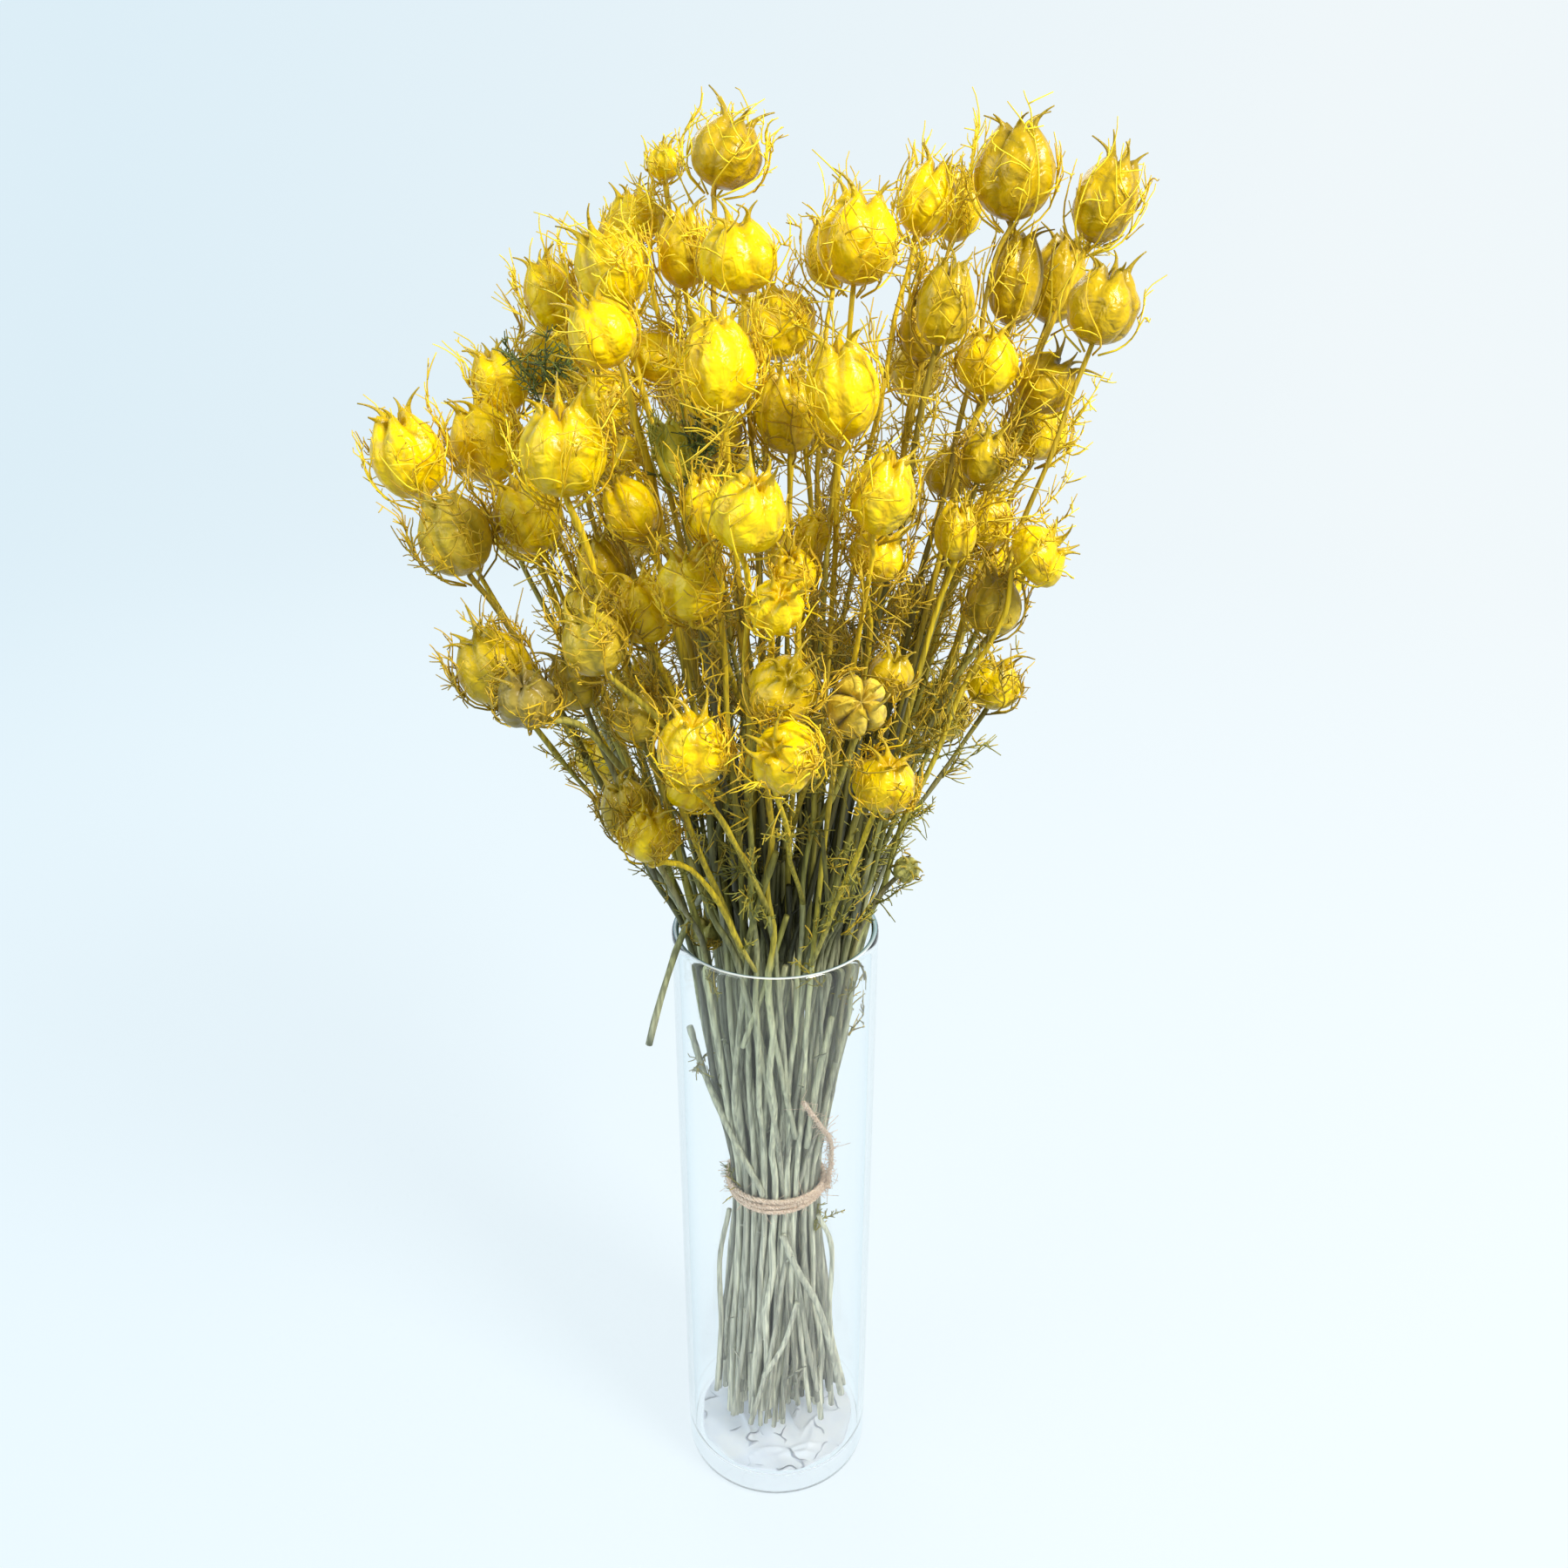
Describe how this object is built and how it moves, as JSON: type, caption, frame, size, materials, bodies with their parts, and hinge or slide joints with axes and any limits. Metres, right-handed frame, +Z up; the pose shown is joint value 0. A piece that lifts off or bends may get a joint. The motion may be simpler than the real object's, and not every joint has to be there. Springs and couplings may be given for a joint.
{
  "type": "dried nigella seed pod bouquet in a glass vase",
  "caption": "Bouquet of yellow-dyed dried nigella seed pods on slender stems, tied with twine and standing in a tall clear glass cylinder vase.",
  "frame": {"origin": "middle of the vase's flat underside, on the surface that it stands on", "axes": "+Z up along the vase and the bouquet, -Y towards the side that is seen first, +X to its right"},
  "size_m": [0.2784, 0.2539, 0.6223],
  "materials": {
    "clear_glass": "clear smooth soda-lime glass with a faint blue-green tint in its thick base and rim",
    "crinkled_paper": "thin crinkled lilac-white paper",
    "jute": "dry pale tan jute twine, matt and hairy",
    "dyed_plant": "dried plant dyed bright yellow, glossy on the pods, olive to grey-green down the stems"
  },
  "bodies": {
    "root": {"vase": "clear_glass", "floor_paper": "crinkled_paper", "twine": "jute", "spray_01": "dyed_plant", "spray_02": "dyed_plant", "spray_03": "dyed_plant", "spray_04": "dyed_plant", "spray_05": "dyed_plant", "spray_06": "dyed_plant", "spray_07": "dyed_plant", "spray_08": "dyed_plant", "spray_09": "dyed_plant", "spray_10": "dyed_plant", "spray_11": "dyed_plant", "spray_12": "dyed_plant", "spray_13": "dyed_plant", "spray_14": "dyed_plant", "spray_15": "dyed_plant", "spray_16": "dyed_plant", "spray_17": "dyed_plant", "spray_18": "dyed_plant", "spray_19": "dyed_plant", "spray_20": "dyed_plant", "spray_21": "dyed_plant", "spray_22": "dyed_plant", "spray_23": "dyed_plant", "spray_24": "dyed_plant", "spray_25": "dyed_plant", "spray_26": "dyed_plant", "spray_27": "dyed_plant", "spray_28": "dyed_plant", "spray_29": "dyed_plant", "spray_30": "dyed_plant", "spray_31": "dyed_plant", "spray_32": "dyed_plant", "spray_33": "dyed_plant", "spray_34": "dyed_plant", "spray_35": "dyed_plant", "spray_36": "dyed_plant", "spray_37": "dyed_plant", "spray_38": "dyed_plant", "spray_39": "dyed_plant", "spray_40": "dyed_plant", "spray_41": "dyed_plant", "spray_42": "dyed_plant", "spray_43": "dyed_plant", "spray_44": "dyed_plant", "spray_45": "dyed_plant", "spray_46": "dyed_plant", "spray_47": "dyed_plant", "spray_48": "dyed_plant", "spray_49": "dyed_plant", "spray_50": "dyed_plant", "spray_51": "dyed_plant", "spray_52": "dyed_plant", "spray_53": "dyed_plant", "spray_54": "dyed_plant", "spray_55": "dyed_plant", "spray_56": "dyed_plant"}
  },
  "joints": []
}
